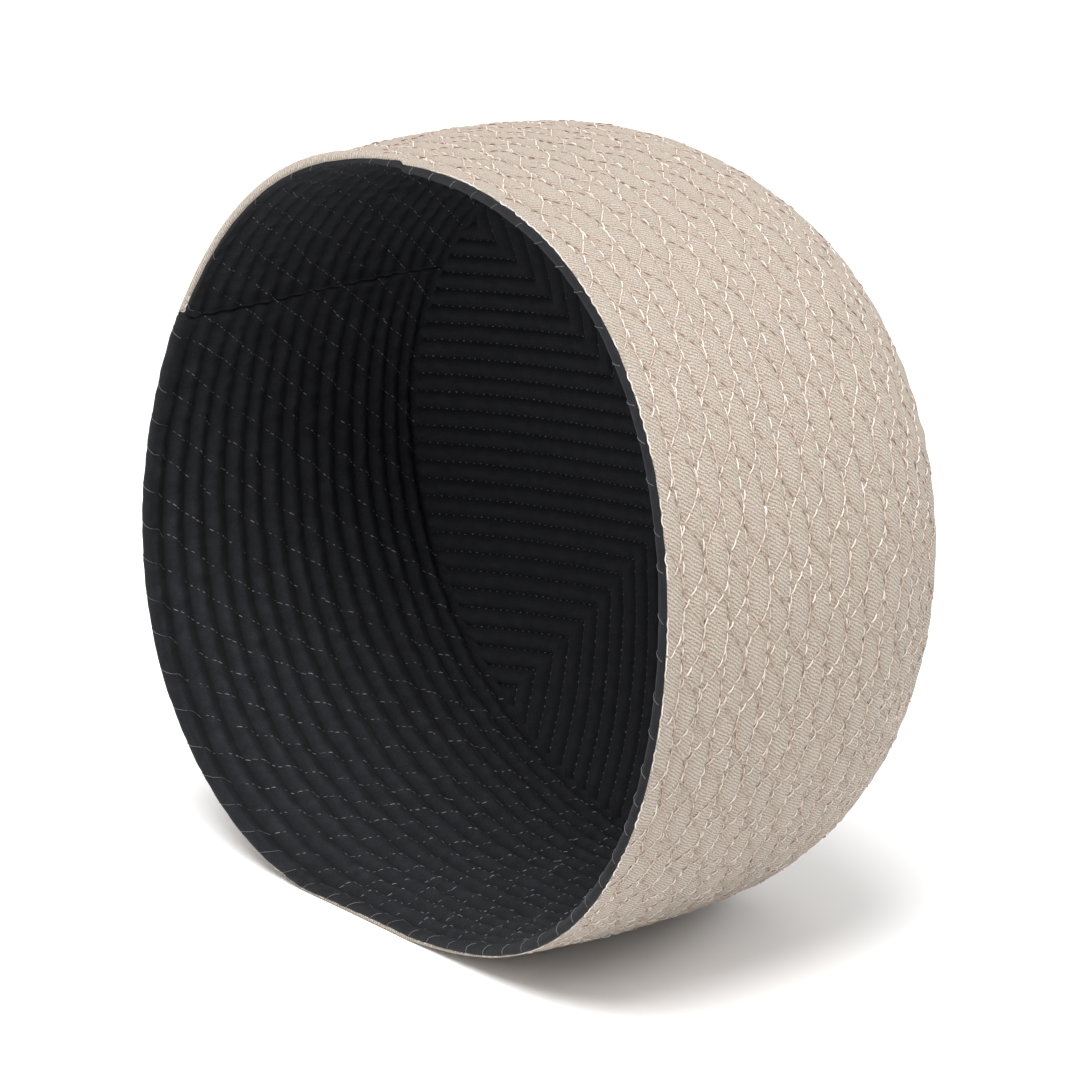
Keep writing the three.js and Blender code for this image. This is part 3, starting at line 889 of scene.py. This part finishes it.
# Floor, lights and camera
floor_mesh = bpy.data.meshes.new("floor")
floor_mesh.from_pydata([(-6, -6, 0), (6, -6, 0), (6, 9, 0), (-6, 9, 0)], [], [(0, 1, 2, 3)])
floor = bpy.data.objects.new("floor", floor_mesh)
bpy.context.scene.collection.objects.link(floor)
floor_finish = Finish("pale_floor", Roughness=0.85)
place = floor_finish.node("ShaderNodeTexCoord", {}, output=3)
mottled = floor_finish.blend(floor_finish.noise(place, 1.5), (0.93, 0.93, 0.93), (0.96, 0.96, 0.96))
floor_finish.feed("Base Color", mottled)
floor.data.materials.append(floor_finish.material)

ROOM_LIGHT = 0.72
world = bpy.data.worlds.new("studio")
world.use_nodes = True
world.node_tree.nodes["Background"].inputs["Color"].default_value = (1.0, 1.0, 1.0, 1)
world.node_tree.nodes["Background"].inputs["Strength"].default_value = ROOM_LIGHT
bpy.context.scene.world = world


def soft_light(name, place, size, power):
    """A round lamp, in metres and watts, that looks at the cap."""
    lamp = bpy.data.lights.new(name, "AREA")
    lamp.shape = "DISK"
    lamp.size = size
    lamp.energy = power
    light = bpy.data.objects.new(name, lamp)
    light.location = place
    light.rotation_euler = (Vector(LIGHTS_LOOK_AT) - Vector(place)).to_track_quat("-Z", "Y").to_euler()
    bpy.context.scene.collection.objects.link(light)


LIGHTS_LOOK_AT = (0, 0, 0.08)
soft_light("key_light", (0.6, -0.9, 2.25), 1.5, 79)
soft_light("side_light", (1.0, 1.7, 1.4), 1.0, 14)

CAMERA_TURN = 51.53  # from the mouth's own direction, towards +X
CAMERA_TIP = 16.72  # above the level
CAMERA_PLACE = (1099.8, 30.29, 4.59)  # back, right and up from the axis's point at the rim
IMAGE_SIDE = 1080  # pixels
FOCAL_PIXELS = 5293.74
SENSOR = 36
turn, tip = np.radians(CAMERA_TURN), np.radians(CAMERA_TIP)
back = Vector((np.sin(turn) * np.cos(tip), -np.cos(turn) * np.cos(tip), np.sin(tip)))
right = Vector((np.cos(turn), np.sin(turn), 0))
up = back.cross(right)
eye = (back * CAMERA_PLACE[0] + right * CAMERA_PLACE[1] + up * CAMERA_PLACE[2] + Vector(AXIS)) * MM
lens = bpy.data.cameras.new("camera")
lens.sensor_width = SENSOR
lens.lens = FOCAL_PIXELS / IMAGE_SIDE * SENSOR
lens.clip_end = 30
camera = bpy.data.objects.new("camera", lens)
camera.matrix_world = Matrix.Translation(eye) @ Matrix((right, up, back)).transposed().to_4x4()
bpy.context.scene.collection.objects.link(camera)
bpy.context.scene.camera = camera
